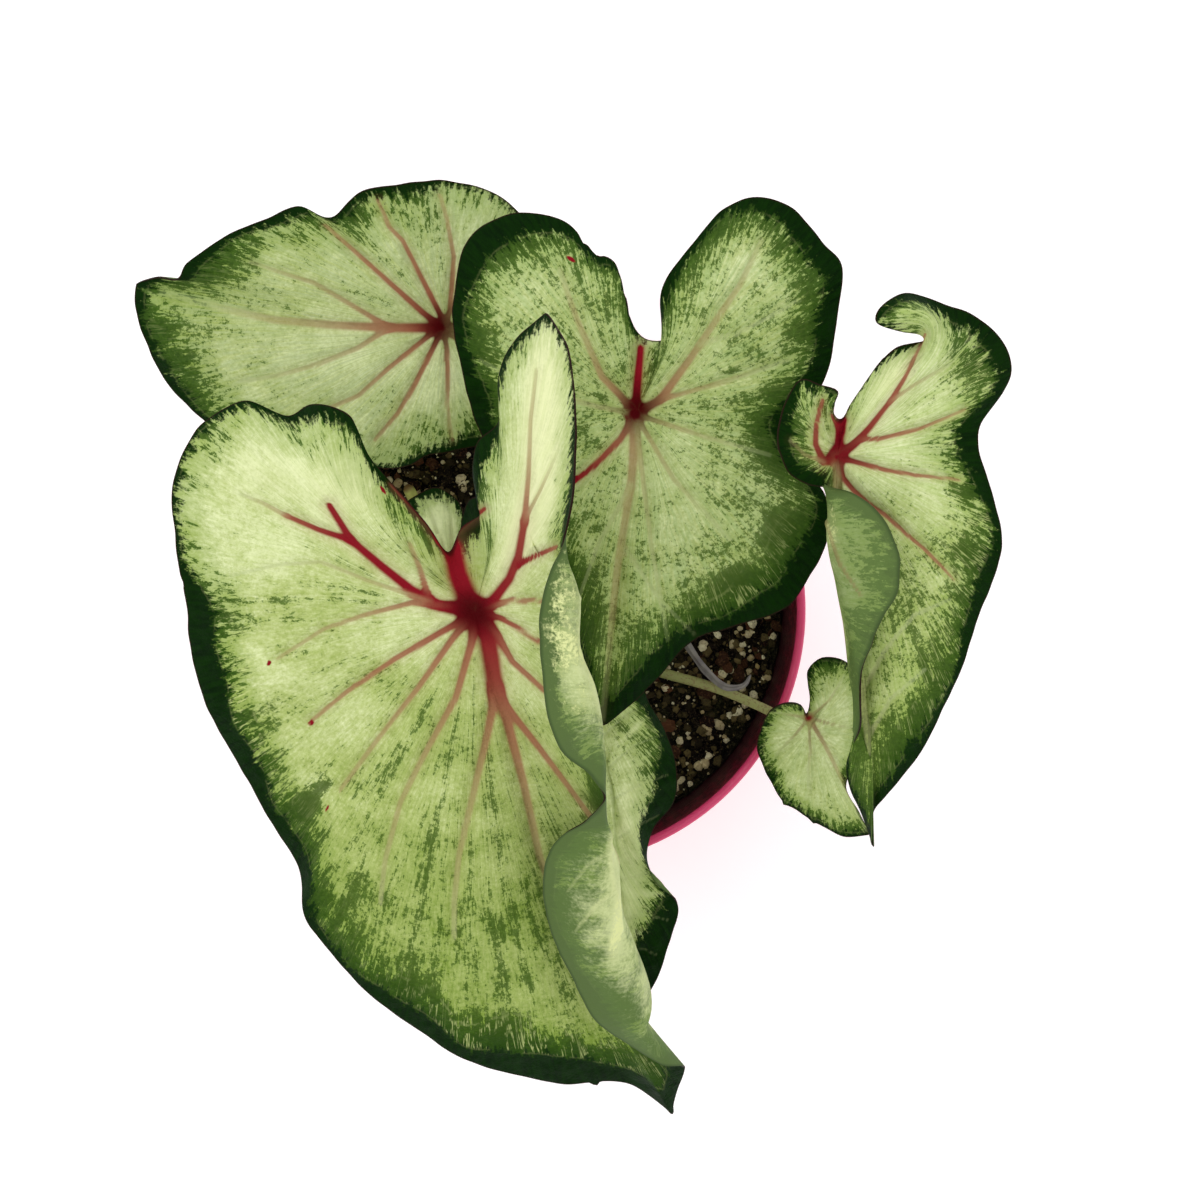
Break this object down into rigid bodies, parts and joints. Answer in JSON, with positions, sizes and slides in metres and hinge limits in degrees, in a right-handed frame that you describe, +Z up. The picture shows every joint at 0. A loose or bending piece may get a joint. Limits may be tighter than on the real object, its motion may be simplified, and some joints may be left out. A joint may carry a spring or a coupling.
{
  "type": "caladium in a pot",
  "caption": "Potted caladium: broad heart-shaped leaves with waved, partly rolled margins on slim petioles, rising from perlite-flecked soil in a round tapered plastic pot.",
  "frame": {"origin": "middle of the underside of the pot, where it rests", "axes": "+Z up along the pot's axis, +Y towards the back leaf, +X towards the right leaf"},
  "size_m": [0.1982, 0.2221, 0.2406],
  "materials": {
    "pot": "satin magenta-pink plastic",
    "soil": "damp dark potting mix with pale perlite grains and brown bark",
    "leaf": "thin soft leaf, cream-green centre with darker green margin and crimson veins",
    "petiole": "smooth yellow-green stalk, slightly glossy",
    "withered": "dry grey-tan withered stalk",
    "stub": "cut yellow-green stalk base"
  },
  "bodies": {
    "root": {"pot": "pot", "soil": "soil", "leaf_front": "leaf", "leaf_back": "leaf", "leaf_middle": "leaf", "leaf_right": "leaf", "leaf_under": "leaf", "leaf_small": "leaf", "leaf_young": "leaf", "petiole_front": "petiole", "petiole_back": "petiole", "petiole_middle": "petiole", "petiole_right": "petiole", "petiole_under": "petiole", "petiole_small": "petiole", "petiole_young": "petiole", "withered_stalk": "withered", "stalk_stub": "stub"}
  },
  "joints": []
}
